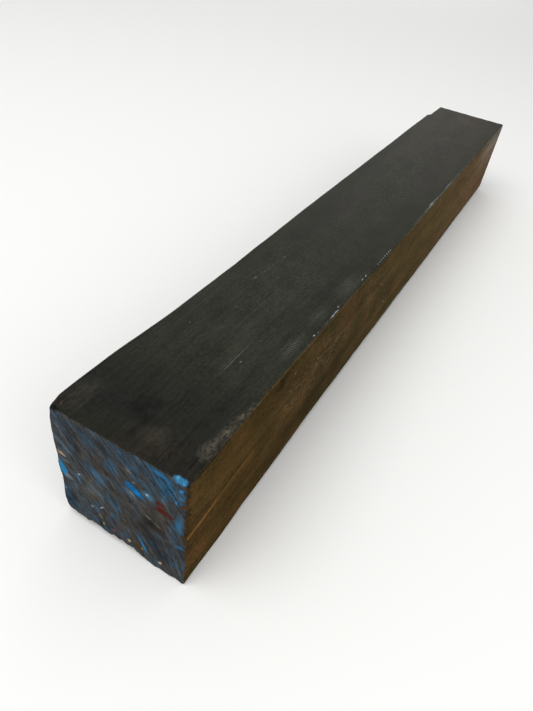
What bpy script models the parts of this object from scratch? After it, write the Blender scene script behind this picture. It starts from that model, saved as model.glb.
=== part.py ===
# Squared ebony turning blank, sawn on all its sides, with end sealer brushed on one end.
# Units are metres and +Z is up. The grain runs along X with the sealed end at -X, the
# brown side faces -Y, and the blank lies on its flat underside at Z = 0.
#
# The shape is worked out in the blank's own corner frame and centred at the end: X from
# the sealed end, Y from the brown side to the left side, Z from the underside.

import math

import bmesh
import bpy
from mathutils import Vector

# Driving dimensions
LENGTH = 0.415
WIDTH = 0.051
HEIGHT = 0.0528

# The worn arrises, rounded all round the blank
EASED_EDGE = 0.0009
EASED_SEGMENTS = 2

# The left side as it was sawn: how far it lies outside WIDTH, from the sealed end on
LEFT_SIDE_DRIFT = (
    (0.000, 0.0006),
    (0.024, 0.0007),
    (0.062, -0.0006),
    (0.095, -0.0006),
    (0.125, -0.0002),
    (0.175, 0.0006),
    (0.240, 0.0010),
    (0.300, 0.0012),
    (0.345, 0.0019),
    (LENGTH, 0.0019),
)

# The last of the left side was sawn in a second pass, which left a step
STEP_FROM_FAR_END = 0.031
STEP_RUN = 0.004
STEP_DEPTH = 0.0017

# The left side is torn hollow beside the sealed end: how deep by height, and how far along
HOLLOW_BY_HEIGHT = (
    (0.000, 0.0004),
    (0.010, 0.0007),
    (0.020, 0.0015),
    (0.031, 0.0012),
    (0.038, 0.0000),
    (HEIGHT, 0.0000),
)
HOLLOW_RUN = 0.020

# The sealed end's upright brown corner is worn round, most of all at the top
WORN_RADIUS_TOP = 0.0024
WORN_RADIUS_LOW = 0.0010
WORN_FROM_HEIGHT = 0.014
WORN_FULL_HEIGHT = 0.038

# The saw broke the sealed end's lower edge away over its left part
BROKEN_EDGE_RISE = 0.0024
BROKEN_EDGE_RUN = 0.0070
BROKEN_EDGE_NONE_AT = 0.0135
BROKEN_EDGE_FULL_AT = 0.0215
BROKEN_EDGE_REACH_UP = 0.012

# Arcs that the saw left on the two ends: centre across and up, distance apart and depth
SEALED_END_ARCS = (0.119, -0.040, 0.0052, 0.00045)
FAR_END_ARCS = (-0.024, 0.078, 0.0060, 0.00035)
ARC_SWELL = 0.3
ARC_SWELLS_PER_RADIAN = 5.0

# How closely the surface is divided
FINE_CELL = 0.00135
FAR_END_CELL = 0.0026
LONG_CELL = 0.0205
ACROSS_CELL = 0.0082
SEALED_END_STATIONS = (0.0009, 0.0025, 0.0045, 0.0072, 0.0120)
FAR_END_DEPTH = 0.0030
STEP_CELLS = 3
FLAT_TOLERANCE = 1e-6

# A face belongs to the sealed end where its normal leans at least this far along -X
END_FACE_LEAN = 0.7

EBONY_COLOUR = (0.022, 0.021, 0.018, 1.0)
EBONY_ROUGHNESS = 0.55
SEALER_COLOUR = (0.045, 0.060, 0.078, 1.0)
SEALER_ROUGHNESS = 0.60


def smooth_step(low, high, value):
    """0 up to low, 1 from high on, and a smooth S between them."""
    share = min(max((value - low) / (high - low), 0.0), 1.0)
    return share * share * (3.0 - 2.0 * share)


def between(points, place):
    """The second value of a list of (place, value) points, eased from point to point."""
    for (start, first), (end, second) in zip(points, points[1:]):
        if place <= end:
            return first + (second - first) * smooth_step(start, end, place)
    return points[-1][1]


def evenly(first, last, cell):
    """Places between first and last, without the two, at most a cell apart."""
    count = math.ceil((last - first) / cell)
    return [first + (last - first) * i / count for i in range(1, count)]


def eased_box():
    """The squared blank as a box with rounded arrises, one corner at the origin."""
    bm = bmesh.new()
    bmesh.ops.create_cube(bm, size=1.0)
    bmesh.ops.translate(bm, verts=bm.verts, vec=(0.5, 0.5, 0.5))
    bmesh.ops.scale(bm, verts=bm.verts, vec=(LENGTH, WIDTH, HEIGHT))
    bmesh.ops.bevel(
        bm,
        geom=bm.edges[:],
        offset=EASED_EDGE,
        segments=EASED_SEGMENTS,
        profile=0.5,
        affect="EDGES",
    )
    return bm


def divide(bm, axis, places, first=0.0, last=LENGTH):
    """Divides the faces between first and last along X, at places along an axis."""
    normal = Vector((0.0, 0.0, 0.0))
    normal[axis] = 1.0
    for place in places:
        faces = [
            face
            for face in bm.faces
            if all(
                first - FLAT_TOLERANCE <= vert.co.x <= last + FLAT_TOLERANCE
                for vert in face.verts
            )
        ]
        edges = {edge for face in faces for edge in face.edges}
        verts = {vert for face in faces for vert in face.verts}
        bmesh.ops.bisect_plane(
            bm,
            geom=faces + list(edges) + list(verts),
            dist=FLAT_TOLERANCE,
            plane_co=normal * place,
            plane_no=normal,
        )


def divide_surface(bm):
    """Cuts the box into cells: fine ones at the sealed end, and long ones between."""
    step_start = LENGTH - STEP_FROM_FAR_END
    step_end = step_start + STEP_RUN
    far_end = LENGTH - FAR_END_DEPTH
    fine_to = SEALED_END_STATIONS[-2]
    stations = list(SEALED_END_STATIONS)
    stations += evenly(stations[-1], step_start, LONG_CELL)
    stations.append(step_start)
    stations += evenly(step_start, step_end, STEP_RUN / STEP_CELLS)
    stations.append(step_end)
    stations += evenly(step_end, far_end, LONG_CELL)
    stations.append(far_end)
    divide(bm, 0, stations)
    for axis, size in ((1, WIDTH), (2, HEIGHT)):
        low, high = EASED_EDGE, size - EASED_EDGE
        divide(bm, axis, evenly(low, high, ACROSS_CELL))
        divide(bm, axis, evenly(low, high, FINE_CELL), last=fine_to)
        divide(bm, axis, evenly(low, high, FAR_END_CELL), first=far_end)


def left_side_offset(x):
    """How far the left side lies outside WIDTH, with the step near the far end."""
    step = smooth_step(0.0, STEP_RUN, x - (LENGTH - STEP_FROM_FAR_END))
    return between(LEFT_SIDE_DRIFT, x) - STEP_DEPTH * step


def arc_depth(arcs, y, z):
    """Depth of the saw's arcs at a place on an end: rounded ridges about one centre.

    Their height swells and fades along each arc, as the saw bit more and less.
    """
    centre_y, centre_z, pitch, depth = arcs
    radius = math.hypot(y - centre_y, z - centre_z)
    angle = math.atan2(z - centre_z, y - centre_y)
    ridge = 0.5 - 0.5 * math.cos(2.0 * math.pi * radius / pitch)
    wave = math.sin(ARC_SWELLS_PER_RADIAN * angle + radius / pitch)
    return depth * ridge * (1.0 - ARC_SWELL + ARC_SWELL * wave)


def worn_in(x, y, z):
    """Moves a place on the sealed end's upright brown corner onto the worn round."""
    share = smooth_step(WORN_FROM_HEIGHT, WORN_FULL_HEIGHT, z)
    radius = WORN_RADIUS_LOW + (WORN_RADIUS_TOP - WORN_RADIUS_LOW) * share
    from_end = radius - x
    from_side = radius - y
    reach = math.hypot(from_end, from_side)
    if from_end <= 0.0 or from_side <= 0.0:
        return x, y
    # The arris above it keeps its own round, so the circle draws in towards the top
    above = max(z - (HEIGHT - EASED_EDGE), 0.0)
    drawn_in = EASED_EDGE - math.sqrt(max(EASED_EDGE**2 - above**2, 0.0))
    allowed = radius - drawn_in
    if reach <= allowed:
        return x, y
    scale = allowed / reach
    return radius - from_end * scale, radius - from_side * scale


def hollow_depth(x, z):
    """How deep the left side is torn hollow beside the sealed end."""
    return between(HOLLOW_BY_HEIGHT, z) * (1.0 - smooth_step(0.0, HOLLOW_RUN, x))


def broken_edge_lift(x, y, z):
    """How far the broken lower edge of the sealed end rises above the underside."""
    across = smooth_step(BROKEN_EDGE_NONE_AT, BROKEN_EDGE_FULL_AT, y)
    along = max(1.0 - x / BROKEN_EDGE_RUN, 0.0)
    up = 1.0 - smooth_step(0.0, BROKEN_EDGE_REACH_UP, z)
    return BROKEN_EDGE_RISE * across * along * up


def worn(place):
    """A place on the eased box, moved to where it is on the sawn and worn blank."""
    x, y, z = place
    sealed_share = max(1.0 - x / EASED_EDGE, 0.0)
    far_share = max(1.0 - (LENGTH - x) / EASED_EDGE, 0.0)
    along = x + sealed_share * arc_depth(SEALED_END_ARCS, y, z)
    along -= far_share * arc_depth(FAR_END_ARCS, y, z)
    along, across = worn_in(along, y, z)
    across += (left_side_offset(x) - hollow_depth(x, z)) * y / WIDTH
    return Vector((along, across, z + broken_edge_lift(x, y, z)))


def centred(bm):
    """Moves the mesh so that the underside's middle lies at the origin."""
    for axis in (0, 1):
        values = [vert.co[axis] for vert in bm.verts]
        middle = (min(values) + max(values)) / 2.0
        for vert in bm.verts:
            vert.co[axis] -= middle


def make_material(name, colour, roughness):
    """A plain Principled material."""
    material = bpy.data.materials.new(name)
    material.use_nodes = True
    shader = material.node_tree.nodes["Principled BSDF"]
    shader.inputs["Base Color"].default_value = colour
    shader.inputs["Roughness"].default_value = roughness
    shader.inputs["Metallic"].default_value = 0.0
    material.diffuse_color = colour
    return material


def make_blank(collection):
    """The whole blank: one solid piece of wood, its sealed end in the sealer's colour."""
    bm = eased_box()
    divide_surface(bm)
    for vert in bm.verts:
        vert.co = worn(vert.co)
    centred(bm)
    bm.normal_update()
    sealed_end = -LENGTH / 2.0 + EASED_EDGE
    for face in bm.faces:
        leans = face.normal.x < -END_FACE_LEAN
        if leans and face.calc_center_median().x < sealed_end:
            face.material_index = 1
    mesh = bpy.data.meshes.new("ebony_square")
    bm.to_mesh(mesh)
    bm.free()
    mesh.materials.append(make_material("ebony", EBONY_COLOUR, EBONY_ROUGHNESS))
    mesh.materials.append(make_material("end_sealer", SEALER_COLOUR, SEALER_ROUGHNESS))
    blank = bpy.data.objects.new("ebony_square", mesh)
    collection.objects.link(blank)
    return blank


def clear_scene():
    """Removes the objects that the file opened with."""
    for old in list(bpy.data.objects):
        bpy.data.objects.remove(old, do_unlink=True)


def main():
    clear_scene()
    collection = bpy.data.collections.new("Ebony square")
    bpy.context.scene.collection.children.link(collection)
    make_blank(collection)


main()
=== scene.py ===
# Squared ebony turning blank with one sealed end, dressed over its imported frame
import math
from functools import partial

import bpy
import numpy as np
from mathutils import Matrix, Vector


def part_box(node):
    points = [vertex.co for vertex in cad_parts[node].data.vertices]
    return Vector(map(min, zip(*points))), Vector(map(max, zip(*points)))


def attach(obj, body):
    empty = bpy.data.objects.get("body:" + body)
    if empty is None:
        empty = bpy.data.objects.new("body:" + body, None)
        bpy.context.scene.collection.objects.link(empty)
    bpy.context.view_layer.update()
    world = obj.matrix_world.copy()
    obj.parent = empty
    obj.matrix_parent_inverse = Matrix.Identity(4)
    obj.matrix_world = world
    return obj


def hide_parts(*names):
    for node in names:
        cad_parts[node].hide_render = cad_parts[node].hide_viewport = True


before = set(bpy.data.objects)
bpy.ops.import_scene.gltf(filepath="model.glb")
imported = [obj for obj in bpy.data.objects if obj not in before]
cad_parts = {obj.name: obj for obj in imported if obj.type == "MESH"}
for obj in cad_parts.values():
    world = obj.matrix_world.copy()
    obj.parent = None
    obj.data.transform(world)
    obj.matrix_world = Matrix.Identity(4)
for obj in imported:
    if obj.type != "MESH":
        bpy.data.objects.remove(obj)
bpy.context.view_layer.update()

mm = 0.001
cornerLow, cornerHigh = (np.array(corner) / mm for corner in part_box("ebony_square"))
span = cornerHigh - cornerLow  # the whole blank's box, in mm
print("frame loaded, the blank's box is", np.round(span, 1), "mm")

leftOverhang = 1.9  # how far the left side drifts out past the width at the sealed end, in mm

# Every size below is in mm, from the sealed end, the brown side and the underside
blank = {
    "length": span[0],
    "width": span[1] - leftOverhang,
    "height": span[2],
    # how far the left side lies outside the width, from the sealed end on
    "leftDrift": (
        (0, 0.6), (24, 0.7), (62, -0.5), (95, -0.4), (125, 0.0),
        (175, 0.8), (240, 1.2), (300, 1.5), (345, 2.1), (415, 2.1),
    ),
    "stepFromFarEnd": 31.0,  # where a second pass of the saw left a step in the left side
    "stepRun": 4.0,
    "stepDepth": 1.7,
    # the left side is torn hollow beside the sealed end: how deep by height, and how far along
    "hollow": ((0, 0.4), (10, 0.8), (17, 1.4), (23, 0.8), (28, 0.5), (37, 0.0), (53, 0.0)),
    "hollowRun": 20.0,
    # round of the sealed end's upright corners, by height
    "leftCorner": ((0, 3.0), (10, 1.4), (46, 1.0), (53, 2.4)),
    "brownCorner": ((0, 0.5), (14, 0.6), (27, 1.3), (38, 2.6), (47, 2.3), (53, 2.3)),
    "brokenRise": 2.9,  # the sealed end's lower edge, broken away on the left
    "brokenRun": 7.0,
    "brokenNoneAt": 13.5,
    "brokenFullAt": 21.5,
    "brokenReachUp": 12.0,
    # how splintered that edge is: the share of its rise that each noise takes, and its cell
    "splinters": ((0.22, 1.6), (0.15, 0.7)),
}

sawMarks = {
    "sealedCentre": (119.0, -40.0),  # what the saw swung about, across and up
    "sealedPitch": 5.2,
    "sealedDepth": 0.45,
    "farCentre": (-24.0, 78.0),
    "farPitch": 6.0,
    "farDepth": 0.35,
    "finePitch": 1.3,
    "fineDepth": 0.10,
    "fineBend": 0.35,  # how far a fine ridge wanders, as a share of its pitch
    "bendWidth": 3.0,
    "bendsPerRadian": 10.0,
    "torn": ((0.10, 0.9), (0.06, 0.9 / 2.1)),  # torn grain between the arcs: depths and cells
    "swell": 0.3,  # how much an arc swells and fades along its way
    "swellsPerRadian": 5.0,
    "sideWave": 0.10,  # shallow waves along the sawn sides
    "sideWaveCell": 26.0,
    "sideFuzz": 0.012,
    "sideFuzzCell": 3.0,
}

# For the lower brown, the lower left, the upper brown and the upper left arris, in this order
arrises = {
    "radius": (0.65, 0.60, 0.80, 0.50),
    "wander": (0.30, 0.30, 0.20, 0.08),
    "nickDepth": (0.65, 0.65, 0.35, 0.12),
    # how much rounder the arris is worn than its radius, from the sealed end on
    "worn": (
        ((0, 0.0), (20, 0.3), (45, 2.0), (95, 3.8), (200, 3.4), (250, 2.6), (330, 3.2), (415, 3.0)),
        ((0, 0.0), (415, 0.0)),
        ((0, 1.5), (5, 0.3), (30, 0.4), (48, 0.8), (130, 0.6), (200, 0.2), (415, 0.0)),
        ((0, 2.6), (1, 2.4), (6, 0.2), (12, 0.0), (415, 0.0)),
    ),
    "wanderCell": 7.0,
    "nicks": 34,
    "nickLength": (0.8, 4.5),
    "nickShare": (0.2, 1.0),  # the shallowest and deepest nick, as shares of the nick depth
    "nickPower": 1.5,  # above 1, most nicks are shallow ones
    "endRadius": 0.50,
    "endWander": 0.32,
    "endWanderCell": 2.0,
    "cornerWander": 0.2,  # how far an upright corner's round wanders, as a share of itself
    "cornerWanderCell": 3.0,
    "cornerFade": 2.0,
}

surface = {
    "cellsAcross": 100,  # both must be even, so that every second point carries on past the collar
    "cellsUp": 104,
    "crowding": 0.45,  # how much closer the cells lie at the arrises
    "collar": 9.0,  # the length beside the sealed end that has every point
    "collarStations": 22,
    "collarPower": 1.4,  # above 1, the stations lie closer towards the end
    "longStations": 236,
    "farCrowding": 0.045,  # how much closer they lie towards the bare end
    # how far a face's direction leans along the grain where it belongs to an end
    "sealedLean": 0.35,
    "bareLean": 0.6,
}

# What each random pattern of the shape starts from
seeds = {
    "nicks": 21, "arrisWander": 40, "endWander": 51, "cornerWander": 52, "fineBend": 61,
    "torn": 62, "sideWave": 64, "sideFuzz": 65, "splinters": 66, "spotsAcross": 71, "spotsUp": 72,
}


def sStep(low, high, value):
    # 0 up to low, 1 from high on, and 3 s^2 - 2 s^3 of the share s between
    share = np.clip((value - low) / (high - low), 0.0, 1.0)
    return share * share * (3.0 - 2.0 * share)


def between(points, place):
    # A value at each place, eased by sStep from one (place, value) point to the next
    places, values = np.array(points, float).T
    left = np.clip(np.searchsorted(places, place, side="right") - 1, 0, len(places) - 2)
    share = sStep(places[left], places[left + 1], place)
    return values[left] + (values[left + 1] - values[left]) * share


def latticeNoise(x, y, z, cell, seed):
    # Smooth noise from -1 to 1: random numbers on a lattice of this cell, blended between by
    # S curves, so that each place has the mix of its eight neighbours on the lattice
    count = 64  # after as many cells the lattice repeats
    lattice = np.random.default_rng(seed).uniform(-1.0, 1.0, (count, count, count))
    places = np.stack([x, y, z]) / cell
    base = np.floor(places).astype(int)
    share = places - base
    share = share * share * (3.0 - 2.0 * share)
    total = np.zeros(places.shape[1:])
    for corner in np.ndindex(2, 2, 2):
        weight = np.ones_like(total)
        for axis in range(3):
            weight = weight * (share[axis] if corner[axis] else 1.0 - share[axis])
        at = [(base[axis] + corner[axis]) % count for axis in range(3)]
        total += weight * lattice[at[0], at[1], at[2]]
    return total


def crowdedPlaces(count, size):
    # Even places less a sine of themselves, so that they lie closer at both arrises
    even = np.linspace(0.0, 1.0, count + 1)
    return size * (even - surface["crowding"] * np.sin(2 * np.pi * even) / (2 * np.pi))


def boxSurface():
    # The plain box as one closed net. A ring of points runs round the section at each station
    # along the grain, every second point past the collar, and two grids close the ends.
    across = crowdedPlaces(surface["cellsAcross"], blank["width"])
    up = crowdedPlaces(surface["cellsUp"], blank["height"])
    ny, nz = len(across) - 1, len(up) - 1
    ringY = np.concatenate([across[:-1], np.full(nz, across[-1]), across[:0:-1], np.zeros(nz)])
    ringZ = np.concatenate([np.zeros(ny), up[:-1], np.full(ny, up[-1]), up[:0:-1]])
    collarEven = np.linspace(0.0, 1.0, surface["collarStations"] + 1)
    fineX = surface["collar"] * collarEven ** surface["collarPower"]
    longEven = np.linspace(0.0, 1.0, surface["longStations"] + 1)[1:]
    longEven = longEven + surface["farCrowding"] * np.sin(2 * np.pi * longEven) * (longEven > 0.5)
    longX = surface["collar"] + (blank["length"] - surface["collar"]) * longEven

    def rings(stations, y, z):
        # One ring of points for each station, one after the other
        return np.stack([
            np.repeat(stations, len(y)),
            np.tile(y, len(stations)),
            np.tile(z, len(stations)),
        ], 1)

    def ringQuads(count, around, first):
        # Quads between each ring and the next, facing outwards
        row = first + np.arange(count - 1)[:, None] * around
        here = np.arange(around)[None, :]
        after = (here + 1) % around
        corners = [row + here, row + after, row + around + after, row + around + here]
        return np.stack(corners, -1).reshape(-1, 4)

    def capGrid(ring, y, z, first):
        # The point numbers of an end's grid: its rim is the ring and its inside is new points
        a, b = len(y) - 1, len(z) - 1
        grid = np.zeros((a + 1, b + 1), int)
        grid[:, 0] = ring[np.arange(a + 1)]
        grid[a, :] = ring[a + np.arange(b + 1)]
        grid[::-1, b] = ring[a + b + np.arange(a + 1)]
        grid[0, ::-1] = ring[(2 * a + b + np.arange(b + 1)) % len(ring)]
        grid[1:-1, 1:-1] = first + np.arange((a - 1) * (b - 1)).reshape(a - 1, b - 1)
        return grid

    fine = rings(fineX, ringY, ringZ)
    coarse = rings(longX, ringY[::2], ringZ[::2])
    around = len(ringY)
    half = around // 2
    quads = [ringQuads(len(fineX), around, 0), ringQuads(len(longX), half, len(fine))]
    # Where the collar ends, each face takes three points of its last ring and two of the next
    last = (len(fineX) - 1) * around
    k = np.arange(half)
    five = np.stack([
        last + 2 * k,
        last + 2 * k + 1,
        last + (2 * k + 2) % around,
        len(fine) + (k + 1) % half,
        len(fine) + k,
    ], 1)
    points = [fine, coarse]
    count = len(fine) + len(coarse)
    for x, y, z, ring, flip in (
        (0.0, across, up, np.arange(around), False),
        (blank["length"], across[::2], up[::2], count - half + np.arange(half), True),
    ):
        grid = capGrid(ring, y, z, count)
        insideY, insideZ = np.meshgrid(y[1:-1], z[1:-1], indexing="ij")
        points.append(np.stack([np.full(insideY.size, x), insideY.ravel(), insideZ.ravel()], 1))
        count += insideY.size
        cells = np.stack([grid[:-1, :-1], grid[:-1, 1:], grid[1:, 1:], grid[1:, :-1]], -1)
        cells = cells.reshape(-1, 4)
        quads.append(cells[:, ::-1] if flip else cells)
    return np.concatenate(points), np.concatenate(quads), five


def nickedRadius(x, which):
    # An arris's round along the grain: a base, what is worn off, a slow wander, and narrow
    # nicks of random depth and length, each a bell curve
    rng = np.random.default_rng(seeds["nicks"] + which)
    flat = np.zeros_like(x)
    wander = latticeNoise(x, flat, flat, arrises["wanderCell"], seeds["arrisWander"] + which)
    radius = arrises["radius"][which] + between(arrises["worn"][which], x)
    radius += arrises["wander"][which] * wander
    for _ in range(arrises["nicks"]):
        place = rng.uniform(0, blank["length"])
        share = rng.uniform(*arrises["nickShare"]) ** arrises["nickPower"]
        deep = arrises["nickDepth"][which] * share
        long = rng.uniform(*arrises["nickLength"])
        radius += deep * np.exp(-((x - place) / long) ** 2)
    return radius


def roundedArrises(x, y, z):
    # Each point of the box is held inside a smaller box and pushed out again by the arris's own
    # radii along the same direction, which rounds the arris. The upright corners' rounds fade
    # out from one radius to two and a little more. It gives the direction too.
    length, width, height = blank["length"], blank["width"], blank["height"]
    left, top, far = y > width / 2, z > height / 2, x > length / 2
    radius = np.choose(left + 2 * top, [nickedRadius(x, which) for which in range(4)])
    wander = latticeNoise(x, y, z, arrises["endWanderCell"], seeds["endWander"])
    endRadius = arrises["endRadius"] + arrises["endWander"] * wander
    corner = np.where(left, between(blank["leftCorner"], z), between(blank["brownCorner"], z))
    wander = latticeNoise(x, y, z, arrises["cornerWanderCell"], seeds["cornerWander"])
    corner = corner * (1 + arrises["cornerWander"] * wander)
    fromSide = np.minimum(y, width - y)
    faded = 2 * corner + arrises["cornerFade"]
    nearEnd = (1 - sStep(corner, faded, x)) * ~far
    nearSide = (1 - sStep(corner, faded, fromSide)) * ~far
    radii = np.stack([
        endRadius + (corner - endRadius) * nearSide,
        radius + (np.maximum(corner, radius) - radius) * nearEnd,
        radius,
    ])
    place = np.stack([x, y, z])
    size = np.array([length, width, height])[:, None]
    inner = np.clip(place, radii, size - radii)
    push = (place - inner) / radii
    push = push / np.linalg.norm(push, axis=0)
    return inner + radii * push, push


def sawArcs(y, z, centre, pitch, depth):
    # Ridges about one centre: half of 1 - cos of the distance over the pitch, swelling and
    # fading along each arc, with finer ridges of the same kind between them, which wander
    radius = np.hypot(y - centre[0], z - centre[1])
    angle = np.arctan2(z - centre[1], y - centre[0])
    wave = np.sin(sawMarks["swellsPerRadian"] * angle + radius / pitch)
    swell = 1 - sawMarks["swell"] + sawMarks["swell"] * wave
    broad = depth * (0.5 - 0.5 * np.cos(2 * np.pi * radius / pitch)) * swell
    # The angle again, with no jump within the end
    sweep = np.arctan2(z - centre[1], abs(y - centre[0])) * sawMarks["bendsPerRadian"]
    bend = latticeNoise(radius / sawMarks["bendWidth"], sweep, 0 * radius, 1.0, seeds["fineBend"])
    turns = radius / sawMarks["finePitch"] + sawMarks["fineBend"] * bend
    fine = sawMarks["fineDepth"] * (0.5 - 0.5 * np.cos(2 * np.pi * turns))
    return broad + fine


def sawnEnd(y, z, which):
    # An end's arcs, and on them torn grain: the size of a noise without its sign, twice
    arcs = [sawMarks[which + name] for name in ("Centre", "Pitch", "Depth")]
    torn = np.zeros_like(y)
    for k, (depth, cell) in enumerate(sawMarks["torn"]):
        torn += depth * np.abs(latticeNoise(0 * y, y, z, cell, seeds["torn"] + k))
    return sawArcs(y, z, *arcs) + torn


def wornBlank(points):
    # The sawn, knocked and worn shape: rounds the arrises, cuts the saw's marks into each face
    # along its own direction, and then moves the left side and the broken lower edge. It gives
    # the points, their directions, and how far along they lay before the saw's marks.
    x, y, z = points.T
    place, push = roundedArrises(x, y, z)
    onEnd = push[0] ** 2
    wave = latticeNoise(x, y, z, sawMarks["sideWaveCell"], seeds["sideWave"])
    fuzz = latticeNoise(x / 2, y, z, sawMarks["sideFuzzCell"], seeds["sideFuzz"])
    sides = sawMarks["sideWave"] * (1 + wave) / 2 + sawMarks["sideFuzz"] * (1 + fuzz) / 2
    ends = np.where(push[0] < 0, sawnEnd(y, z, "sealed"), sawnEnd(y, z, "far"))
    depth = ends * onEnd + sides * (1 - onEnd)
    uncutX = place[0]
    x, y, z = place - push * depth
    stepStart = blank["length"] - blank["stepFromFarEnd"]
    step = blank["stepDepth"] * sStep(0, blank["stepRun"], x - stepStart)
    hollow = between(blank["hollow"], z) * (1 - sStep(0, blank["hollowRun"], x))
    y = y + (between(blank["leftDrift"], x) - step - hollow) * y / blank["width"]
    splinter = 1.0
    for k, (share, cell) in enumerate(blank["splinters"]):
        splinter = splinter + share * latticeNoise(x, y, z, cell, seeds["splinters"] + k)
    across = sStep(blank["brokenNoneAt"], blank["brokenFullAt"], y)
    along = np.clip(1 - x / blank["brokenRun"], 0, 1)
    up = 1 - sStep(0, blank["brokenReachUp"], z)
    z = z + blank["brokenRise"] * across * along * up * splinter
    return np.stack([x, y, z], 1), push, uncutX


spotShake = {"reach": 2.2, "cell": 4.5}  # how far noise shakes the spots' outlines, and its cell


def softSpots(y, z, spots):
    # The sum of the spots' amounts, each falling by sStep from its middle to the ellipse of its
    # half length and half width, with the place shaken by noise
    flat, reach, cell = 0 * y, spotShake["reach"], spotShake["cell"]
    y = y + reach * latticeNoise(flat, y, z, cell, seeds["spotsAcross"])
    z = z + reach * latticeNoise(flat, y, z, cell, seeds["spotsUp"])
    total = np.zeros_like(y)
    for first, second, long, wide, turn, amount in spots:
        cosine, sine = math.cos(math.radians(turn)), math.sin(math.radians(turn))
        along = ((y - first) * cosine + (z - second) * sine) / long
        aside = ((z - second) * cosine - (y - first) * sine) / wide
        total += amount * (1 - sStep(0.0, 1.0, np.hypot(along, aside)))
    return total


# How the six faces lie side by side on the baked picture: the two axes that each shows, its
# lower left corner and its scale, as shares of the picture and per mm
strip = 0.985 / span[0]
endScale = 0.430 / span[2]
bakeFaces = (
    (0, 1, 0.0075, 0.0075, strip),  # top
    (0, 2, 0.0075, 0.1415, strip),  # brown side
    (1, 2, 0.0075, 0.5550, endScale),  # sealed end
    (1, 2, 0.5000, 0.5550, endScale),  # bare end
    (0, 2, 0.0075, 0.2755, strip),  # left side
    (0, 1, 0.0075, 0.4095, strip),  # underside
)


def makeBlank(materials):
    # Each face of the mesh belongs to the side of the blank that it was pushed out towards,
    # which settles its material and where it lies on the baked picture. The sides have the
    # numbers of their rows in bakeFaces, and the last two have the top's material.
    points, quads, five = boxSurface()
    worn, push, uncutX = wornBlank(points)
    faces = quads.tolist() + five.tolist()
    mesh = bpy.data.meshes.new("ebonyBlank")
    mesh.from_pydata(((worn + cornerLow) * mm).tolist(), [], faces)
    mesh.polygons.foreach_set("use_smooth", np.ones(len(faces), bool))
    leans = [np.concatenate([part[quads].mean(1), part[five].mean(1)]) for part in push]
    upright = abs(leans[1]) > abs(leans[2])
    side = np.where(upright, np.where(leans[1] < 0, 1, 4), np.where(leans[2] < 0, 5, 0))
    side = np.where(-leans[0] > surface["sealedLean"], 2, side)
    side = np.where(leans[0] > surface["bareLean"], 3, side)
    mesh.polygons.foreach_set("material_index", np.where(side > 3, 0, side))
    for material in materials:
        mesh.materials.append(material)
    corners = worn[np.concatenate([quads.ravel(), five.ravel()])]
    sideOf = np.concatenate([np.repeat(side[:len(quads)], 4), np.repeat(side[len(quads):], 5)])
    first, second, left, low, scale = np.array(bakeFaces)[sideOf].T
    each = np.arange(len(corners))
    across = left + corners[each, first.astype(int)] * scale
    up = low + corners[each, second.astype(int)] * scale
    mesh.uv_layers.new(name="OFBake").data.foreach_set("uv", np.stack([across, up], 1).ravel())
    for name, values in (
        ("coatLeft", softSpots(points[:, 1], points[:, 2], coatSpots)),
        ("paleness", softSpots(points[:, 1], points[:, 2], lightSpots)),
        ("uncutX", uncutX),
    ):
        mesh.attributes.new(name, "FLOAT", "POINT").data.foreach_set("value", values)
    mesh.update()
    piece = bpy.data.objects.new("ebony_blank", mesh)
    bpy.context.scene.collection.objects.link(piece)
    print("blank made,", len(worn), "points and", len(quads) * 2 + len(five) * 3, "triangles")
    return piece


def hexColour(code):
    # An sRGB hex colour as the linear numbers that a shader takes
    parts = [int(code[i:i + 2], 16) / 255 for i in (1, 3, 5)]
    return [v / 12.92 if v <= 0.04045 else ((v + 0.055) / 1.055) ** 2.4 for v in parts] + [1.0]


def addNode(tree, kind, links, out=0, stops=(), **settings):
    # Adds a node with its settings and its links, where a link is a value or another node's
    # output, and gives one of its outputs. The stops are a colour ramp's places and colours.
    node = tree.nodes.new("ShaderNode" + kind)
    for name, value in settings.items():
        setattr(node, name, value)
    for name, value in links.items():
        if isinstance(value, bpy.types.NodeSocket):
            tree.links.new(value, node.inputs[name])
        else:
            node.inputs[name].default_value = value
    for k, (place, paint) in enumerate(stops):
        stop = node.color_ramp.elements[k] if k < 2 else node.color_ramp.elements.new(place)
        stop.position, stop.color = place, hexColour(paint)
    return node.outputs[out]


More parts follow.
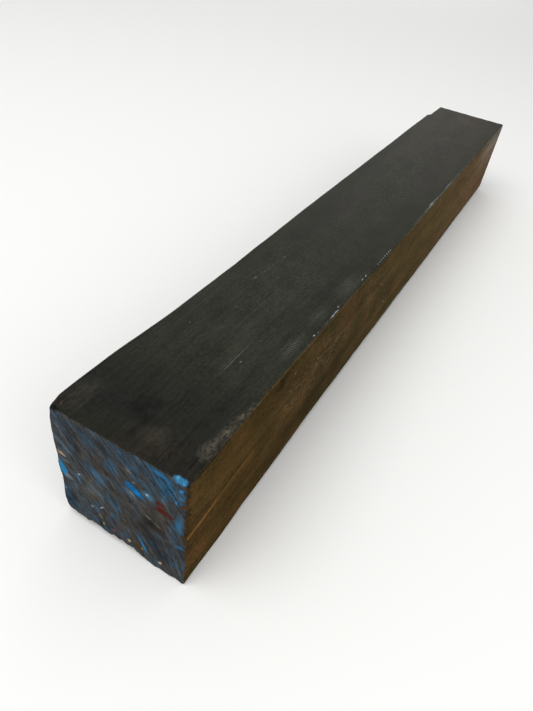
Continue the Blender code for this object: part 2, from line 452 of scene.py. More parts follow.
ebony = {
    # the heartwood under old dust and wax, and the paler wood along one side, each from the
    # sealed end to the bare end as shares of the length
    # The heartwood's stops turn paler past the sealed end and most at the bare end. This is painted
    # sheen, which adds to the top's own grazing reflection there
    "black": (
        (0.00, "#1b1b15"), (0.05, "#1b1b16"), (0.11, "#25261e"),
        (0.30, "#212218"), (0.60, "#201f14"), (0.90, "#282619"),
    ),
    "brown": (
        (0.00, "#45351a"), (0.09, "#403219"), (0.25, "#3f341e"),
        (0.56, "#4b3f25"), (0.79, "#5d4a32"), (0.89, "#624d35"),
    ),
    "rust": "#54351d",  # the redder clouds in the brown wood
    "rusty": (0.50, 0.75, 0.35),  # the clouds' values where rust starts and is full, and its share
    "streak": (0.008, 0.16),  # one over the length and the width of a broad streak, in mm
    "fibre": (0.05, 1.5),
    "cloud": (0.07, 0.10),
    "grit": (0.8, 1.3),  # as coarse as it needs to be to show in the render
    "detail": 3.0,
    # how far the streaks, fibres, clouds and grit change the tone
    "blackContrast": (0.32, 0.62, 0.52, 0.78),
    "brownContrast": (0.52, 0.60, 0.45, 0.60),
    # how deep the brown wood goes in from its side, from the sealed end on
    "brownDepth": ((12, 0.3), (32, 1.2), (110, 1.1), (150, 0.5), (340, 0.3)),
    "brownFade": 0.5,
    "scuff": (0.40, 0.62, 0.2),  # the grit's values where a scuff is least and full, and its least
    "sawPitch": 1.2,
    "sawShake": 5.0,  # how far the fibres shake the saw's lines, in radians
    "sawLine": (-0.2, 0.9),  # the wave's values where such a line starts and is full
    "wrinkle": (0.25, 0.70),  # one over the length and the width of a wrinkle, in mm
    "wrinkleDetail": 2.0,
    "wrinkleWidth": 0.045,  # how far from the noise's middle value a wrinkle fades out
    "blackRoughness": (0.50, 0.56),
    "brownRoughness": (0.62, 0.80),
    "blackSpecular": 0.10,
    "brownSpecular": 0.005,
    "blackBump": 0.11,
    "brownBump": 0.5,
}

# What the fibres and the grit do to a surface: the fibres' values where it is smoothest and
# roughest, and the height of each in the bump, in mm
finish = {"smoothest": 0.3, "roughest": 0.7, "fibreHeight": 0.10, "gritHeight": 0.05}

# Marks on the top. Each has its middle along and across, its half length and half width, its
# turn in degrees, how soft it is, how its edge breaks up unless that is ragged, its colour and
# how far it covers
topMarks = [
    (4.9, 15.7, 11, 16, 0, 1, "cloudy", "#2c241b", 0.5),
    (9, 46.7, 12, 6, 8, 1, "cloudy", "#35332b", 0.65),
    (16, 26.4, 8, 6.4, 15, 0.8, "cloudy", "#040406", 0.97),
    (13.9, 37.7, 6.5, 8, -10, 1, "cloudy", "#141419", 0.6),
    (6.4, 24.4, 3, 2, 0, 0.8, "#0d0b0b", 0.65),
    (9.5, 17.5, 5, 5.5, 0, 1, "cloudy", "#35352a", 0.45),
    (13.6, 2.2, 5.6, 3.9, -4, 0.3, "#2a2823", 0.85),
    (27.5, 1, 16, 3.3, -7, 0.3, "#2a2823", 0.85),
    (13.6, 2.2, 5.4, 3.8, -4, 0.5, "scuffed", "#3c392f", 0.9),
    (27.5, 1, 15.5, 3.1, -7, 0.5, "scuffed", "#37342b", 0.85),
    (16, 2.4, 6.5, 2.6, -8, 0.8, "scuffed", "#484438", 0.42),
    (28, 1.2, 14, 2.2, -7, 0.9, "scuffed", "#464235", 0.45),
    (21.5, 2.3, 2.6, 1, -8, 0.8, "scuffed", "#69634f", 0.5),
    (30.5, 1.9, 4, 0.9, -8, 0.8, "scuffed", "#69634f", 0.5),
    (37, 0.9, 5, 1.2, -8, 0.7, "scuffed", "#55503f", 0.7),
    (7.2, 3.4, 3.8, 0.38, 2, 0.5, "#080706", 0.9),
    (3.4, 49.6, 2.4, 2.2, 0, 0.6, "#20150f", 0.7),
    (3.2, 48.2, 1.8, 0.5, 35, 1, "#5a493c", 0.6),
    (51, 17.9, 14, 0.3, 0, 0.9, "even", "#4f4f47", 0.8),
    (46, 19, 10, 0.28, 0, 0.9, "even", "#42423b", 0.65),
    (109.9, 37.6, 11, 0.7, -1, 0.9, "scuffed", "#4a4a41", 0.55),
    (88, 27, 30, 0.35, 0, 0.9, "even", "#3d3e37", 0.5),
    (275, 27, 130, 24, 0, 0.5, "wrinkled", "#4c4d44", 0.3),
    (110, 28, 75, 21, 0, 0.7, "wrinkled", "#45463e", 0.28),
    (70, 5.2, 11, 3.2, 0, 0.8, "sawn", "#4b4c45", 0.8),
    (118, 5.6, 16, 4.2, 0, 0.8, "sawn", "#4f504a", 0.75),
    (93, 6, 9.5, 3.2, 0, 0.8, "sawn", "#4b4c45", 0.65),
    (150, 28, 60, 20, 0, 1, "sawn", "#2c2c25", 0.25),
    (58.4, 41.7, 0.7, 0.4, 0, 0.8, "#6a6a60", 0.55),
    (51.3, 15.6, 0.6, 0.35, 0, 0.6, "#85857c", 0.7),
    (64.9, 15.7, 0.7, 0.4, 0, 0.5, "#52524a", 0.5),
    (99.5, 38.3, 2.2, 0.6, 0, 0.8, "#64645e", 0.6),
    (122, 36.8, 1.3, 0.5, 0, 0.8, "#5c5c56", 0.6),
    (77.4, 33.7, 0.7, 0.45, 0, 0.8, "#4a4a43", 0.55),
    (85.9, 31.7, 10, 6, 0, 1, "cloudy", "#33351f", 0.35),
    (160, 22, 42, 7, 0, 1, "cloudy", "#292b1a", 0.45),
    (190, 38, 45, 10, 0, 1, "cloudy", "#241f1f", 0.5),
    (262, 12, 48, 8, 0, 1, "cloudy", "#211e1d", 0.5),
    (394, 26, 20, 12, 0, 1, "cloudy", "#3b2d27", 0.65),
    (322.9, 25.7, 6, 2.6, 0, 1, "cloudy", "#48302a", 0.35),
    (343.9, 24.7, 6, 2.6, 0, 1, "cloudy", "#48302a", 0.35),
]

# Pale wax rubbed onto the upper brown arris, with painted glints on it: the pale dots and short
# lines from 80 to 132 mm along, and the row after them. All in the same form
waxAndGlintMarks = [
    (80, 2, 0.7, 0.36, 0, 0.6, "#b4b8b6", 0.85),
    (82.6, 1.6, 0.5, 0.35, 0, 0.5, "#8d9290", 0.7),
    (89.9, 1.5, 3.5, 0.3, 0, 0.7, "#555b5c", 0.6),
    (97.5, 1.5, 4.8, 0.2, 0, 0.6, "#b4b9b6", 0.9),
    (102.8, 2.1, 0.9, 0.4, 0, 0.5, "#8d9290", 0.75),
    (128, 2.3, 1.1, 0.4, 0, 0.5, "#7d8280", 0.75),
    (131.9, 2.3, 1.1, 0.4, 0, 0.5, "#7d8280", 0.75),
    (60, 1.6, 40, 0.4, 0, 1, "#2b302e", 0.4),
    (250, 1, 105, 0.5, 0, 0.8, "scuffed", "#59625f", 0.7),
    (225.9, 1.2, 14, 0.8, 0, 0.9, "scuffed", "#8b9491", 0.75),
    (258.9, 1.1, 9, 0.7, 0, 0.9, "scuffed", "#7d8682", 0.65),
]
# A row of painted glints, one on each ridge of the saw's marks along the arris
waxAndGlintMarks += [(144.9 + 2.3 * k, 1.6, 0.55, 0.32, 50, 0.6, "even", "#a0a5a2", 0.8) for k in range(8)]

# Marks on the brown side, with painted shade along its lower arris: along and up, and the rest in
# the same form
sideMarksAndShade = [
    (92, 16, 50, 8.5, 9, 0.9, "cloudy", "#221a0c", 0.58),
    (52, 49.5, 7, 3.2, 0, 0.6, "cloudy", "#1c140a", 0.6),
    (60, 27, 4, 2.5, 0, 0.8, "cloudy", "#281e0e", 0.4),
    (60, 6, 11, 3.5, 10, 0.9, "cloudy", "#1b150a", 0.55),
    (6, 53.2, 24, 1.9, 0, 0.5, "#2b2720", 0.75),
    # The two dark strips along the lower arris are painted shade, where the arris turns down away
    # from the light
    (60, 0, 60, 3.6, 0, 0.8, "cloudy", "#171108", 0.8),
    (230, 0, 200, 3.2, 0, 0.6, "cloudy", "#1c150b", 0.75),
    (400, 52, 72, 28, 0, 0.7, "cloudy", "#716a60", 0.75),
    (20, 28.4, 23, 1.4, 6, 0.8, "even", "#574021", 0.8),
    (6, 26.5, 13, 1.1, 5, 0.8, "even", "#75532c", 0.9),
    (34, 29.6, 9, 0.7, 4, 0.9, "even", "#5f4a2a", 0.6),
    (140, 40.4, 25, 0.6, 0, 0.9, "even", "#6a5434", 0.6),
    (155.5, 37.5, 3.4, 0.35, -30, 0.8, "even", "#8c7552", 0.7),
    (172, 18.4, 3.4, 0.4, -30, 0.8, "even", "#967d58", 0.75),
    (86, 38.6, 0.8, 0.8, 0, 0.5, "#967646", 0.7),
    (64, 46.9, 0.6, 1, 0, 0.5, "#846842", 0.6),
    (118, 29, 2, 1, 0, 0.6, "#664d2f", 0.55),
    (100, 34, 34, 15, 0, 1, "scuffed", "#5c4a32", 0.3),
    (95, 38, 42, 15, 0, 1, "cloudy", "#2c2111", 0.4),
    (84, 34, 40, 18, 0, 0.5, "wrinkled", "#78664a", 0.36),
    (150, 33, 44, 14, 0, 0.6, "wrinkled", "#755f42", 0.28),
]

sealer = {
    # the scraped wood and the coat left on it, each from its darkest to its palest
    "wood": (
        (0.34, "#22201e"), (0.44, "#33302c"), (0.50, "#413d37"),
        (0.56, "#4e4a43"), (0.66, "#716a5f"),
    ),
    "blue": (
        (0.34, "#111f2a"), (0.44, "#1d3445"), (0.50, "#28485e"),
        (0.56, "#2f5f7c"), (0.66, "#3a8ab6"),
    ),
    "brushCentre": (165.0, -72.0),  # what the scraped lines swing about, across and up
    "swing": 180.0,  # the usual distance from that centre
    # one over the length and the width of each kind of patch in mm, its detail and its seed:
    # the first four swing about that centre, and the others lie straight
    "swung": {
        "band": ((0.03, 0.22), 3.0, 5),
        "line": ((0.16, 1.0), 4.0, 6),
        "hair": ((0.30, 2.2), 2.0, 10),
        "streak": ((0.16, 1.0), 4.0, 11),
    },
    "straight": {
        "blot": ((0.20, 0.20), 5.0, 7),
        "speck": ((2.2, 2.2), 3.0, 9),
    },
    # how much of each goes into how pale a place is, and into how much of its coat is left
    "paleness": {"band": 0.10, "line": 0.34, "hair": 0.20, "blot": 0.12, "speck": 0.22},
    "coatLeft": {"band": 0.20, "streak": 0.40, "hair": 0.10, "blot": 0.30},
    "bluer": (0.44, 0.68),  # the amounts of coat between which the wood turns blue
    "reach": (0.35, 0.80),  # how far the coat goes round the end's arris
    "roughness": (0.50, 0.75),
    "specular": 0.02,
    "bump": 0.5,
}

# Where more of the coat is left than elsewhere, or less: the middle across and up, the half
# length and half width, the turn in degrees, and how much is added
coatSpots = [
    (7, 46, 11, 8, 0, 0.19),
    (22, 49.5, 10, 5.5, 0, 0.13),
    (16.5, 42.5, 7, 3, 42, 0.08),
    (37, 47.5, 9, 3.5, 45, 0.13),
    (46, 48.7, 6, 4.5, 0, 0.14),
    (43, 39.5, 8, 2.4, 45, 0.09),
    (27, 42, 5, 2.4, 45, 0.1),
    (35, 30.5, 9, 2.4, 55, 0.12),
    (28, 21, 8, 2.6, 60, 0.09),
    (47, 8, 7, 7, 0, 0.13),
    (32, 4.5, 12, 4, 0, 0.04),
    (12, 11.5, 7, 5, 60, 0.075),
    (3, 30, 3, 10, 0, 0.08),
    (3, 16, 5, 9, 0, 0.04),
    (45, 36, 8, 3, 50, -0.06),
    (30, 36, 7, 3, 45, -0.08),
    (38, 21, 8, 9, 0, -0.05),
    (14, 26, 9, 6, 30, -0.12),
    (18, 18, 8, 6, 40, -0.08),
]

# Where the end is paler or darker than elsewhere, in the same form
lightSpots = [
    (38, 22, 9, 11, 0, 0.06),
    (35, 31, 9, 2.5, 55, 0.045),
    (46, 33, 6, 8, 0, 0.03),
    (23, 44, 6, 3, 42, 0.05),
    (14, 24.5, 9, 6, 30, -0.09),
    (17, 17, 8, 6, 40, -0.07),
    (11, 12, 10, 10, 0, -0.085),
    (41.5, 40.2, 6.5, 2, 42, -0.06),
    (30.5, 46.9, 5, 2, 45, -0.09),
    (30, 36.5, 6, 3, 45, -0.05),
    (48, 8, 8, 8, 0, -0.075),
    (33, 4, 12, 4, 0, -0.045),
    (44, 45, 5, 1.6, 42, -0.06),
]

# Marks on the sealed end: across and up, and the rest in the form of the top's
endMarks = [
    (41.5, 40.2, 5, 1.1, 38, 0.7, "#2b2a28", 0.7),
    (30.5, 46.9, 4, 1.3, 48, 0.7, "#292a2a", 0.75),
    (43.5, 47.7, 3, 0.9, 50, 0.7, "#2f2f30", 0.65),
    (37, 46.7, 5.5, 1.4, 45, 0.8, "#2a4253", 0.8),
    (44.6, 39.3, 2.8, 0.9, 40, 0.7, "#344556", 0.7),
    (33, 31.2, 8, 1.3, 52, 0.8, "#436078", 0.75),
    (28, 20.7, 6, 1.3, 62, 0.8, "#3f5666", 0.65),
    (37.5, 21.5, 4, 1, 56, 0.8, "#4b6378", 0.75),
    (26.5, 42.5, 2.6, 1.1, 45, 1, "#224a68", 0.9),
    (19, 46.2, 3.8, 1.3, 42, 0.8, "#2d5065", 0.75),
    (14.5, 40.7, 4.5, 1.2, 40, 0.8, "#3a5668", 0.65),
    (13.2, 24, 3.6, 2.6, 40, 0.8, "#131516", 0.9),
    (20.9, 29, 0.7, 0.9, 0, 0.6, "#1c2429", 0.85),
    (25.5, 11.2, 2.2, 3.4, -20, 0.8, "#533f3a", 0.65),
    (28.8, 6.1, 1.3, 0.9, 0, 0.6, "#6d483a", 0.7),
    (32.4, 36.7, 1.1, 1, 0, 0.7, "#402c2c", 0.8),
    (27, 35.7, 0.9, 0.8, 0, 0.7, "#432f2f", 0.75),
    (19.5, 5.5, 3.4, 2.2, 0, 0.6, "#423421", 0.85),
    (9, 50.3, 4.8, 1, 16, 0.6, "#2b6690", 0.8),
    (13, 50.5, 1.6, 1, 40, 0.6, "#28587a", 0.75),
    (2.4, 48.7, 0.9, 1.1, 0, 0.5, "#3475a0", 0.85),
    (2.7, 44.9, 0.8, 1, 0, 0.5, "#34709a", 0.8),
    (3.9, 42, 0.7, 0.8, 0, 0.5, "#34739c", 0.8),
    (2.6, 32.4, 1.6, 6.4, 0, 0.7, "#33607f", 0.85),
    (13.8, 37.3, 3.4, 1.9, 20, 0.8, "#42708e", 0.75),
    (19.2, 36.3, 4.4, 1.7, 30, 0.3, "#0a5c90", 0.97),
    (18.2, 35.6, 1.6, 0.9, 30, 0.6, "#0f74b8", 0.9),
    (48.6, 25, 1.7, 4.8, -18, 0.4, "#2475a6", 0.95),
    (46.4, 22.1, 2.2, 1.7, 30, 0.8, "#5c6a72", 0.7),
    (48.4, 32.3, 2.2, 0.85, 16, 0.5, "#a98a6a", 0.95),
    (48.9, 14.5, 0.8, 1, 30, 0.5, "#3f7696", 0.75),
    (48.9, 10.3, 0.7, 1, 0, 0.5, "#224860", 0.8),
    (8, 33.6, 4.2, 1.7, 4, 0.4, "#4a1a14", 0.95),
    (9.8, 36.4, 2.6, 1.9, 30, 0.5, "#4a1d16", 0.92),
    (9.6, 35.2, 1.5, 0.6, 30, 0.7, "#6d4a30", 0.65),
    (20, 33.6, 1.3, 0.6, 30, 0.5, "#94795a", 0.75),
    (16.6, 8.9, 4.6, 0.65, 60, 0.4, "even", "#1f7aae", 0.95),
    (2.3, 20.1, 2.2, 1, 10, 0.6, "#265c82", 0.8),
    (1, 9.7, 0.6, 2.8, 0, 0.6, "#28587a", 0.85),
    (14.2, 26.7, 1.8, 0.5, 14, 0.6, "#7a7663", 0.8),
    (10.6, 24.9, 2.4, 0.45, 32, 0.6, "#5f5442", 0.75),
    (46.5, 22.1, 2.2, 0.55, 32, 0.6, "#757572", 0.75),
    (20.9, 44, 2, 0.8, 38, 0.6, "#6a6a60", 0.7),
    (19.2, 39.6, 1, 0.4, -20, 0.8, "#83898a", 0.65),
    (41.6, 26.4, 0.55, 0.55, 0, 0.8, "#cfd6d8", 0.9),
    (33.4, 15.1, 1.5, 0.36, -48, 0.8, "even", "#b4c6d0", 0.9),
    (14.2, 37.7, 0.6, 0.45, 0, 0.8, "#a3bccb", 0.85),
    (33.2, 6.3, 0.6, 0.9, -20, 0.5, "#a0926e", 0.75),
    (22.3, 5.7, 0.9, 0.8, 0, 0.5, "#b09a70", 0.85),
    (16.9, 5.9, 0.6, 0.9, 0, 0.5, "#8f7a54", 0.75),
    (9.6, 4.4, 1.2, 0.7, -45, 0.4, "#b7a280", 0.9),
    (37.6, 12.7, 0.7, 0.8, 0, 0.5, "#84836f", 0.75),
    (34, 10.3, 1.1, 0.6, 20, 0.5, "#857f72", 0.7),
    (47, 29.7, 2.4, 0.6, 20, 0.6, "#5f656a", 0.6),
    (28, 53.3, 24, 0.9, 0, 0.6, "#1c1d1b", 0.8),
    (16.5, 20, 3, 2, 40, 0.8, "#191b1c", 0.75),
]

# Where the brown wood shows past the coat's edge at the upper brown corner, in the same form
bareMarks = [
    (0, 49.5, 1.2, 2, 0, 0.3, "#3d2c15", 0.9),
    (0, 45, 1.4, 2.2, 0, 0.3, "#3d2c15", 0.9),
    (0.3, 41.3, 2.5, 1.5, 0, 0.3, "#43311a", 0.95),
    (0, 35.8, 1.3, 4, 0, 0.3, "#3d2c15", 0.9),
    (0, 30.8, 0.9, 3, 0, 0.3, "#3d2c15", 0.9),
    (0, 25.6, 2.1, 3.2, 0, 0.3, "#3d2c15", 0.85),
    (0, 19, 0.8, 5, 0, 0.3, "#3d2c15", 0.85),
]

# The dab of sealer that ran over onto the top at the brown corner, in the top's form
dabMarks = [
    (0.7, 3, 1.15, 2.8, 0, 0.3, "#2f6f96", 0.95),
    (0.9, 4.2, 0.6, 0.9, 0, 0.6, "#4f8fb2", 0.8),
    (0.9, 1.9, 0.5, 0.7, 0, 0.6, "#4f8fb2", 0.8),
]

# Where a mark lies: the two axes that its place is given on, the axis that it turns about and
# which way, where its face lies on that axis, and how deep the mark goes
markFaces = {
    "top": {"axes": (0, 1), "about": 2, "hand": 1, "level": blank["height"], "deep": 2.2},
    "side": {"axes": (0, 2), "about": 1, "hand": -1, "level": 0.0, "deep": 6.0},
    "end": {"axes": (1, 2), "about": 0, "hand": 1, "level": 0.0, "deep": 1.6},
    "corner": {"axes": (1, 2), "about": 0, "hand": 1, "level": 0.0, "deep": 4.0},
}

# How the edge of a mark is broken up: one over the size of the breaks, and how far they reach
edges = {"ragged": (0.75, 1.7), "cloudy": (0.16, 9.0)}
edgeDetail = 4.0
seedShift = (7.3, 3.1, 5.7)  # how far a seed of one moves a noise along each axis, in cells


def grainNoise(tree, place, stretch, detail, seed):
    # Noise whose cells are as long and wide as one over the two stretch values, in mm
    along, across = stretch
    shift = tuple(seed * part for part in seedShift)
    links = {"Vector": place, "Scale": (along, across, across), "Location": shift}
    laid = addNode(tree, "Mapping", links)
    return addNode(tree, "TexNoise", {"Vector": laid, "Scale": 1.0, "Detail": detail})


def layMarks(tree, colour, places, gates, marks, face):
    # Each mark is an ellipse about its middle: the colour turns to the mark's own where the
    # distance, counted in half lengths and half widths, falls from 1 to 1 less its softness.
    # Where its edge has a gate, that thins the mark out inside too.
    lies = markFaces[face]
    one, other = lies["axes"]
    for first, second, long, wide, turn, soft, *edge, paint, strength in marks:
        edge = edge[0] if edge else "ragged"
        middle, turned, size = [lies["level"]] * 3, [0.0] * 3, [lies["deep"]] * 3
        middle[one], middle[other] = first, second
        size[one], size[other] = long, wide
        turned[lies["about"]] = lies["hand"] * math.radians(turn)
        place = places.get(edge, places["ragged"])
        links = {"Vector": place, "Location": middle, "Rotation": turned, "Scale": size}
        laid = addNode(tree, "Mapping", links, vector_type="TEXTURE")
        distance = addNode(tree, "VectorMath", {0: laid}, out=1, operation="LENGTH")
        links = {0: distance, 1: 1.0 - soft, 2: 1.0, 3: strength, 4: 0.0}
        share = addNode(tree, "MapRange", links)
        if edge in gates:
            share = addNode(tree, "Math", {0: share, 1: gates[edge]}, operation="MULTIPLY")
        links = {0: share, 6: colour, 7: hexColour(paint)}
        colour = addNode(tree, "Mix", links, out=2, data_type="RGBA")
    return colour


def startMaterial(name, specular):
    # A Principled material, and the place on the blank in mm: as it is, and shaken by noise so
    # that the marks that read it have a broken edge
    material = bpy.data.materials.new(name)
    material.use_nodes = True
    tree = material.node_tree
    shader = tree.nodes["Principled BSDF"]
    shader.inputs["Specular IOR Level"].default_value = specular
    place = addNode(tree, "TexCoord", {}, out=3)
    toBlank = {"Vector": place, "Location": tuple(-cornerLow), "Scale": (1 / mm, 1 / mm, 1 / mm)}
    places = {"even": addNode(tree, "Mapping", toBlank)}
    for edge, (fineness, reach) in edges.items():
        links = {"Vector": places["even"], "Scale": fineness, "Detail": edgeDetail}
        shake = addNode(tree, "TexNoise", links, out=1)
        shake = addNode(tree, "VectorMath", {0: shake, 1: (0.5, 0.5, 0.5)}, operation="SUBTRACT")
        links = {0: shake, 1: (reach, reach, reach), 2: places["even"]}
        places[edge] = addNode(tree, "VectorMath", links, operation="MULTIPLY_ADD")
    return material, tree, shader, places


def ebonyWood(tree, places):
    # The wood all through the blank: black heartwood, and brown wood within a set depth of one
    # side. Broad streaks, fibres, clouds and grit each raise or lower the tone by their share of
    # the contrast, and the colour, with any marks on it, is later multiplied by the tone.
    add = partial(addNode, tree)
    layers = [
        grainNoise(tree, places["even"], ebony[name], ebony["detail"], seed)
        for seed, name in enumerate(("streak", "fibre", "cloud", "grit"), 1)
    ]
    along = add("SeparateXYZ", {0: places["even"]})
    share = add("Math", {0: along, 1: blank["length"]}, operation="DIVIDE")
    woods, tones = [], []
    for wood in ("black", "brown"):
        contrast = ebony[wood + "Contrast"]
        tone = 1.0 - sum(contrast)
        for layer, weight in zip(layers, contrast):
            tone = add("Math", {0: layer, 1: 2 * weight, 2: tone}, operation="MULTIPLY_ADD")
        tones.append(tone)
        colour = add("ValToRGB", {0: share}, stops=ebony[wood])
        if wood == "brown":
            low, high, most = ebony["rusty"]
            rusty = add("MapRange", {0: layers[2], 1: low, 2: high, 3: 0.0, 4: most})
            links = {0: rusty, 6: colour, 7: hexColour(ebony["rust"])}
            colour = add("Mix", links, out=2, data_type="RGBA")
        woods.append(colour)
    brokenAlong, brokenAcross = (
        add("SeparateXYZ", {0: places["ragged"]}, out=axis) for axis in (0, 1)
    )
    depth = ebony["brownDepth"][0][1]
    for (start, first), (end, last) in zip(ebony["brownDepth"], ebony["brownDepth"][1:]):
        links = {0: brokenAlong, 1: start, 2: end, 3: 0.0, 4: last - first}
        depth = add("Math", {0: depth, 1: add("MapRange", links)}, operation="ADD")
    inside = add("Math", {0: depth, 1: brokenAcross}, operation="SUBTRACT")
    fade = ebony["brownFade"] / 2
    isBrown = add("MapRange", {0: inside, 1: -fade, 2: fade})
    colour = add("Mix", {0: isBrown, 6: woods[0], 7: woods[1]}, out=2, data_type="RGBA")
    return colour, add("Mix", {0: isBrown, 2: tones[0], 3: tones[1]}), layers


def sideGates(tree, places, layers):
    # What thins a mark out: scuffs catch on the grit, and saw marks are lines across the grain,
    # the sine of the place along it over their pitch, shaken by the fibres. Wrinkles are where
    # a noise is close to its middle value, which gives thin wandering lines.
    add = partial(addNode, tree)
    along = add("SeparateXYZ", {0: places["even"]})
    turn = add("Math", {0: along, 1: 2 * math.pi / ebony["sawPitch"]}, operation="MULTIPLY")
    turn = add("Math", {0: layers[1], 1: ebony["sawShake"], 2: turn}, operation="MULTIPLY_ADD")
    line = add("Math", {0: turn}, operation="SINE")
    wrinkle = grainNoise(tree, places["even"], ebony["wrinkle"], ebony["wrinkleDetail"], 12)
    wrinkle = add("Math", {0: wrinkle, 1: 0.5}, operation="SUBTRACT")
    wrinkle = add("Math", {0: wrinkle}, operation="ABSOLUTE")
    low, high, least = ebony["scuff"]
    scuffed = add("MapRange", {0: layers[3], 1: low, 2: high, 3: least, 4: 1.0})
    low, high = ebony["sawLine"]
    sawn = add("MapRange", {0: line, 1: low, 2: high})
    links = {0: wrinkle, 1: 0.0, 2: ebony["wrinkleWidth"], 3: 1.0, 4: 0.0}
    return {"scuffed": scuffed, "sawn": sawn, "wrinkled": add("MapRange", links)}


def finishSurface(tree, shader, colour, fibre, grit, roughness, strength):
    # Roughness from the fibres, and a fine bump from the fibres and the grit
    add = partial(addNode, tree)
    tree.links.new(colour, shader.inputs["Base Color"])
    low, high = roughness
    links = {0: fibre, 1: finish["smoothest"], 2: finish["roughest"], 3: low, 4: high}
    tree.links.new(add("MapRange", links), shader.inputs["Roughness"])
    height = add("Math", {0: fibre, 1: finish["fibreHeight"]}, operation="MULTIPLY")
    links = {0: grit, 1: finish["gritHeight"], 2: height}
    height = add("Math", links, operation="MULTIPLY_ADD")
    bump = add("Bump", {"Strength": strength, "Distance": mm, "Height": height})
    tree.links.new(bump, shader.inputs["Normal"])


def sawnSide(name, wood, *marked):
    # One of the long sides: its wood, then the marks of each face that reach it, and the tone
    material, tree, shader, places = startMaterial(name, ebony[wood + "Specular"])
    colour, tone, layers = ebonyWood(tree, places)
    gates = sideGates(tree, places, layers)
    for marks, face in marked:
        colour = layMarks(tree, colour, places, gates, marks, face)
    colour = addNode(tree, "VectorMath", {0: colour, "Scale": tone}, operation="SCALE")
    roughness, bump = ebony[wood + "Roughness"], ebony[wood + "Bump"]
    finishSurface(tree, shader, colour, layers[1], layers[3], roughness, bump)
    return material


def blackSide():
    # Ebony heartwood as sawn, dulled by dust and old wax: near black and nearly matt
    return sawnSide("sawnBlackEbony", "black", (topMarks + waxAndGlintMarks + dabMarks, "top"))


def brownSide():
    # The brown wood along one side, sawn smoother: warm, matt and streaked along the grain
    return sawnSide("sawnBrownEbony", "brown", (sideMarksAndShade, "side"), (waxAndGlintMarks, "top"))


def sealedEnd():
    # Blue end sealer brushed over rough end grain and mostly scraped off again, to slate and
    # brown. The scraped lines are noise on the distance from their centre and on the way round
    # it. With the blots and specks they settle how pale a place is and whether it keeps its blue.
    material, tree, shader, places = startMaterial("bluedEndSealer", sealer["specular"])
    add = partial(addNode, tree)
    wood, tone, layers = ebonyWood(tree, places)
    wood = add("VectorMath", {0: wood, "Scale": tone}, operation="SCALE")
    centre = sealer["brushCentre"]
    links = {"Vector": places["even"], "Location": (0, centre[0], -centre[1]), "Scale": (0, -1, 1)}
    swung = add("Mapping", links)
    radius = add("VectorMath", {0: swung}, out=1, operation="LENGTH")
    parts = [add("SeparateXYZ", {0: swung}, out=axis) for axis in (1, 2)]
    angle = add("Math", {0: parts[1], 1: parts[0]}, operation="ARCTAN2")
    way = add("Math", {0: angle, 1: sealer["swing"]}, operation="MULTIPLY")
    arc = add("CombineXYZ", {0: way, 1: radius})
    patches = {}
    for place, kinds in ((arc, sealer["swung"]), (places["even"], sealer["straight"])):
        for kind, (stretch, detail, seed) in kinds.items():
            patches[kind] = grainNoise(tree, place, stretch, detail, seed)
    levels = {}
    for name in ("paleness", "coatLeft"):
        level = add("Attribute", {}, out=2, attribute_name=name)
        for kind, weight in sealer[name].items():
            links = {0: patches[kind], 1: weight, 2: level}
            level = add("Math", links, operation="MULTIPLY_ADD")
        levels[name] = level
    scraped = add("ValToRGB", {0: levels["paleness"]}, stops=sealer["wood"])
    blue = add("ValToRGB", {0: levels["paleness"]}, stops=sealer["blue"])
    low, high = sealer["bluer"]
    isBlue = add("MapRange", {0: levels["coatLeft"], 1: low, 2: high})
    coat = add("Mix", {0: isBlue, 6: scraped, 7: blue}, out=2, data_type="RGBA")
    coat = layMarks(tree, coat, places, {}, endMarks, "end")
    # The coat goes round the arris as far as the uncut shape has it, or the wood would show in
    # the saw's hollows too
    shaken = add("VectorMath", {0: places["ragged"], 1: places["even"]}, operation="SUBTRACT")
    uncut = add("Attribute", {}, out=2, attribute_name="uncutX")
    along = add("Math", {0: add("SeparateXYZ", {0: shaken}), 1: uncut}, operation="ADD")
    low, high = sealer["reach"]
    past = add("MapRange", {0: along, 1: low, 2: high})
    colour = add("Mix", {0: past, 6: coat, 7: wood}, out=2, data_type="RGBA")
    colour = layMarks(tree, colour, places, {}, bareMarks, "corner")
    colour = layMarks(tree, colour, places, {}, dabMarks, "top")
    line, speck = patches["line"], patches["speck"]
    finishSurface(tree, shader, colour, line, speck, sealer["roughness"], sealer["bump"])
    return material


endGrain = {
    "pith": (95.0, -60.0),  # the middle of the tree's rings, across and up
    "ringPitch": 2.6,
    "ringContrast": 0.14,
    "paler": 1.15,  # how much paler the end is than the sides
    "pore": (1.8, 1.8),  # as coarse as it needs to be to show in the render
    "poreDetail": 2.0,
    "poreFrom": 0.58,
    "poreFull": 0.70,
    "poreDust": "#3a3328",
}


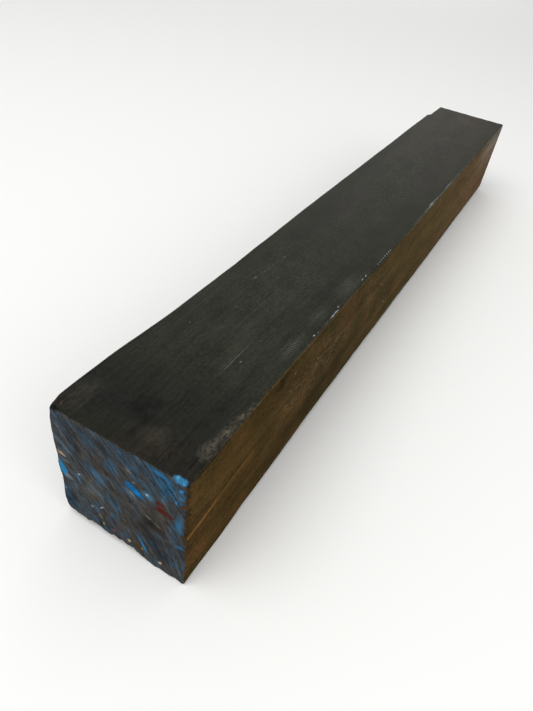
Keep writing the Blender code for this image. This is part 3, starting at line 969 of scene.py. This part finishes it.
def bareEnd():
    # Fresh-sawn end grain of ebony: dark, dry and matt, with faint rings and fine dusty pores.
    # The rings are the sine of the distance from the pith over their pitch.
    material, tree, shader, places = startMaterial("bareEndGrain", ebony["brownSpecular"])
    add = partial(addNode, tree)
    wood, tone, layers = ebonyWood(tree, places)
    pith = endGrain["pith"]
    links = {"Vector": places["cloudy"], "Location": (0, -pith[0], -pith[1]), "Scale": (0, 1, 1)}
    ring = add("VectorMath", {0: add("Mapping", links)}, out=1, operation="LENGTH")
    ring = add("Math", {0: ring, 1: 2 * math.pi / endGrain["ringPitch"]}, operation="MULTIPLY")
    ring = add("Math", {0: ring}, operation="SINE")
    links = {0: ring, 1: endGrain["ringContrast"], 2: endGrain["paler"]}
    lit = add("Math", links, operation="MULTIPLY_ADD")
    lit = add("Math", {0: lit, 1: tone}, operation="MULTIPLY")
    colour = add("VectorMath", {0: wood, "Scale": lit}, operation="SCALE")
    pores = grainNoise(tree, places["even"], endGrain["pore"], endGrain["poreDetail"], 8)
    pores = add("MapRange", {0: pores, 1: endGrain["poreFrom"], 2: endGrain["poreFull"]})
    links = {0: pores, 6: colour, 7: hexColour(endGrain["poreDust"])}
    colour = add("Mix", links, out=2, data_type="RGBA")
    roughness, bump = ebony["brownRoughness"], ebony["brownBump"]
    finishSurface(tree, shader, colour, layers[1], layers[3], roughness, bump)
    return material


# Sizes and places are in metres
studio = {
    "floor": "#f2f2f0",
    "floorSize": 14.0,
    "floorDrop": 0.0002,  # so that the floor and the underside never share a plane
    "floorRoughness": 0.9,
    "worldStrength": 0.62,
    "lights": {
        "key": {"at": (-0.70, 0.30, 1.30), "size": 1.3, "watts": 11.0},
        "rightFill": {"at": (-0.60, -1.20, 0.90), "size": 1.1, "watts": 5.0},
        "backGlow": {"at": (1.60, 0.75, 0.55), "size": 1.2, "watts": 2.4},
    },
    "aim": (0.0, 0.0, 0.03),
}

view = {
    # The eye, in mm from the sealed end's lower brown corner, and how it is turned
    "eye": (-76.55, -50.3, 178.2),
    "tilt": 49.551,
    "roll": -6.927,
    "heading": -60.155,
    "focalPixels": 566.3,
    "imageWidth": 533,
    "imageHeight": 711,
    "sensorWidth": 36.0,
    "nearest": 0.01,  # in metres
}


def makeStudio():
    # A pale paper floor, a pale room, and soft round lamps that are turned towards the blank
    scene = bpy.context.scene
    scene.view_settings.view_transform = "Standard"
    world = bpy.data.worlds.new("softRoom")
    world.use_nodes = True
    air = world.node_tree.nodes["Background"]
    air.inputs["Color"].default_value = (1.0, 1.0, 1.0, 1.0)
    air.inputs["Strength"].default_value = studio["worldStrength"]
    scene.world = world
    half = studio["floorSize"] / 2
    corners = [(-half, -half, 0), (half, -half, 0), (half, half, 0), (-half, half, 0)]
    mesh = bpy.data.meshes.new("floor")
    mesh.from_pydata(corners, [], [(0, 1, 2, 3)])
    floor = bpy.data.objects.new("floor", mesh)
    scene.collection.objects.link(floor)
    floor.location.z = -studio["floorDrop"]
    paper = bpy.data.materials.new("palePaper")
    paper.use_nodes = True
    shader = paper.node_tree.nodes["Principled BSDF"]
    shader.inputs["Base Color"].default_value = hexColour(studio["floor"])
    shader.inputs["Roughness"].default_value = studio["floorRoughness"]
    mesh.materials.append(paper)
    for name, light in studio["lights"].items():
        data = bpy.data.lights.new(name, "AREA")
        data.shape = "DISK"
        data.size = light["size"]
        data.energy = light["watts"]
        lamp = bpy.data.objects.new(name, data)
        scene.collection.objects.link(lamp)
        lamp.location = light["at"]
        x, y, z = (a - b for a, b in zip(studio["aim"], light["at"]))
        lamp.rotation_euler = (math.atan2(math.hypot(x, y), -z), 0, math.atan2(-x, y))
    print("floor and", len(studio["lights"]), "soft lights placed")


def makeCamera():
    # The lens is the sensor's width times the focal length over the picture's longer side, with
    # both of these in pixels
    data = bpy.data.cameras.new("camera")
    camera = bpy.data.objects.new("camera", data)
    bpy.context.scene.collection.objects.link(camera)
    camera.location = (np.array(view["eye"]) + cornerLow) * mm
    camera.rotation_euler = [math.radians(view[name]) for name in ("tilt", "roll", "heading")]
    data.sensor_width = view["sensorWidth"]
    longer = max(view["imageWidth"], view["imageHeight"])
    data.lens = view["sensorWidth"] * view["focalPixels"] / longer
    data.clip_start = view["nearest"]
    bpy.context.scene.camera = camera
    print("camera placed")


makeStudio()
makeCamera()
piece = makeBlank([blackSide(), brownSide(), sealedEnd(), bareEnd()])
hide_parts("ebony_square")
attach(piece, "root")
bpy.context.view_layer.update()
